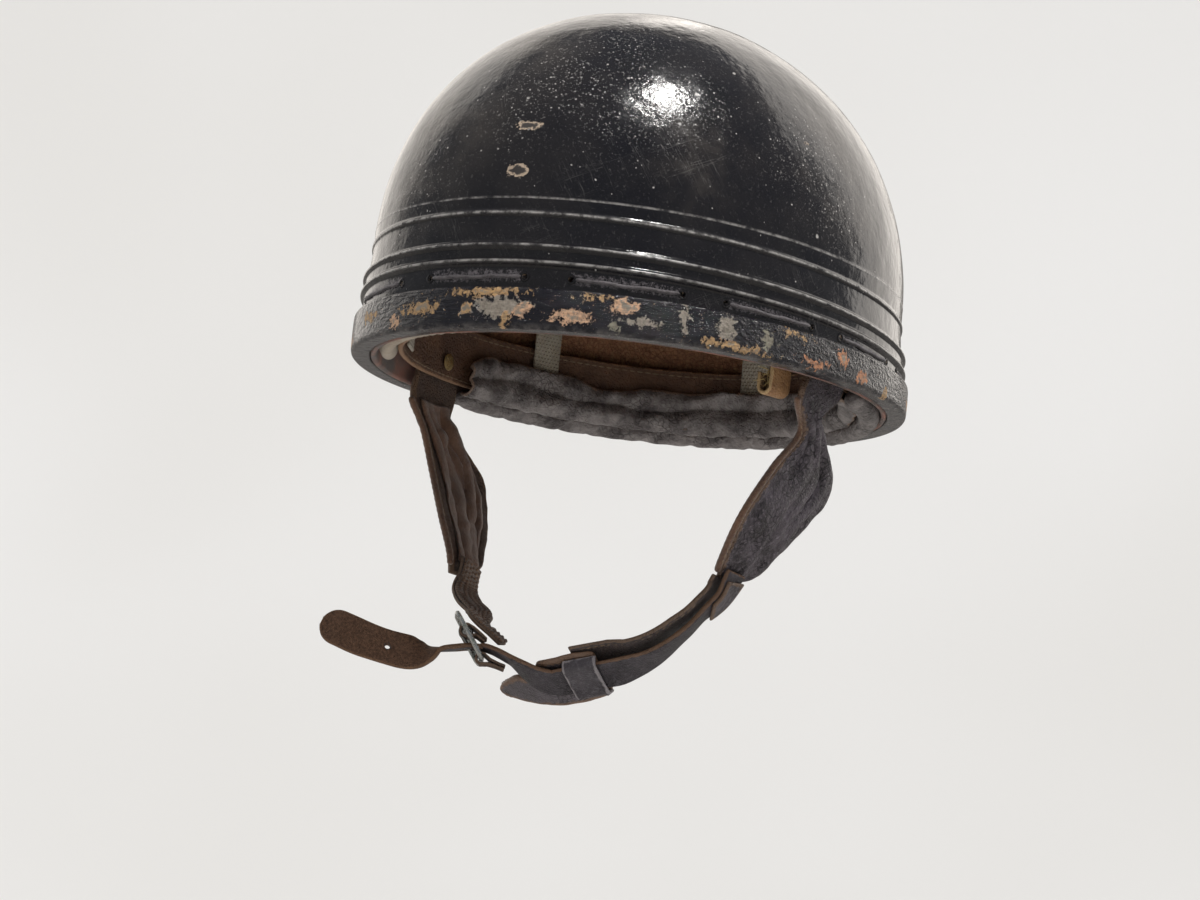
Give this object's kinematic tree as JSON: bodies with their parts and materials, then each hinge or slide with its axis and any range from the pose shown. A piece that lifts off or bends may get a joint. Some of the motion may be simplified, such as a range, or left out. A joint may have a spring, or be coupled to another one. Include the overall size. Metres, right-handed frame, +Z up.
{
  "type": "motorcycle helmet",
  "caption": "Half-shell helmet with a lacquered dome, laced rim band, inner head cradle, swinging leather ear flaps, and a buckled chin strap with a sliding pad.",
  "frame": {"origin": "centre of the head opening, in the plane of the rim's lower edge, half way across the shell", "axes": "+Z up through the crown, -Y towards the front (the face), +X towards the wearer's left"},
  "size_m": [0.2288, 0.2724, 0.3027],
  "materials": {
    "black_lacquer": "glossy, scratched lacquer over resin-bonded fibre",
    "chipped_lacquer": "worn lacquer over cloth, chipped",
    "grey_felt": "matt felt strip",
    "cork": "bare cork",
    "lacing_thread": "waxed thread",
    "tan_leather": "worn, satin",
    "pale_cloth": "matt cotton",
    "cotton_webbing": "woven cotton tape",
    "grey_leather": "aged, fine-grained, satin",
    "dark_leather": "aged, satin",
    "brown_suede": "flesh side, matt",
    "old_brass": "tarnished",
    "worn_chrome": "worn plating with spots of corrosion"
  },
  "bodies": {
    "helmet": {"shell_dome": "black_lacquer", "rim_band": "chipped_lacquer", "rim_lining": "grey_felt", "cork_lining": "cork", "rim_lace": "lacing_thread", "headband": "tan_leather", "headband_tab": "tan_leather", "forehead_roll": "pale_cloth", "neck_curtain": "grey_leather", "curtain_roll": "grey_leather", "cradle_strap_1": "cotton_webbing", "cradle_strap_2": "cotton_webbing", "cradle_strap_3": "cotton_webbing", "cradle_strap_4": "cotton_webbing", "cradle_strap_5": "cotton_webbing", "cradle_strap_6": "cotton_webbing", "crown_lace": "lacing_thread", "left_hanger_tab": "tan_leather", "right_hanger_tab": "tan_leather", "left_pivot_rivet": "old_brass", "right_pivot_rivet": "old_brass", "left_pivot_washer": "old_brass", "right_pivot_washer": "old_brass"},
    "left_harness": {"left_ear_flap": "grey_leather", "left_flap_lining": "brown_suede", "left_flap_binding": "brown_suede", "chin_strap": "grey_leather", "left_inner_band": "brown_suede", "left_strap_tab": "grey_leather"},
    "chin_pad_slider": {"chin_pad": "grey_leather", "chin_pad_loop": "dark_leather"},
    "right_harness": {"right_ear_flap": "grey_leather", "right_flap_lining": "brown_suede", "right_flap_binding": "brown_suede", "right_side_band": "brown_suede", "buckle_chape": "dark_leather"},
    "buckle": {"buckle_frame": "worn_chrome"},
    "tongue": {"buckle_tongue": "worn_chrome"},
    "end_tab": {"buckle_end_tab": "dark_leather"}
  },
  "joints": [
    {"name": "left_flap_swing", "type": "hinge", "parent": "helmet", "child": "left_harness", "pos_m": [0, -0.006, 0.012], "axis": [1, 0, 0], "range_deg": [-35, 15]},
    {"name": "right_flap_swing", "type": "hinge", "parent": "helmet", "child": "right_harness", "pos_m": [0, -0.006, 0.012], "axis": [1, 0, 0], "range_deg": [-35, 15]},
    {"name": "chin_pad_slide", "type": "slide", "parent": "left_harness", "child": "chin_pad_slider", "axis": [-0.957, -0.1736, -0.2326], "range_m": [-0.004, 0]},
    {"name": "buckle_swing", "type": "hinge", "parent": "right_harness", "child": "buckle", "pos_m": [-0.03452, -0.05802, -0.11297], "axis": [-0.5344, 0.8453, 0], "range_deg": [-2, 2]},
    {"name": "tongue_swing", "type": "hinge", "parent": "buckle", "child": "tongue", "pos_m": [-0.03452, -0.05802, -0.11297], "axis": [-0.5344, 0.8453, 0], "range_deg": [0, 25]},
    {"name": "end_tab_swing", "type": "hinge", "parent": "buckle", "child": "end_tab", "pos_m": [-0.02823, -0.05405, -0.124], "axis": [-0.5344, 0.8453, 0], "range_deg": [-1, 20]}
  ],
  "couplings": [
    {"joint": "right_flap_swing", "follows": "left_flap_swing", "ratio": 1}
  ]
}
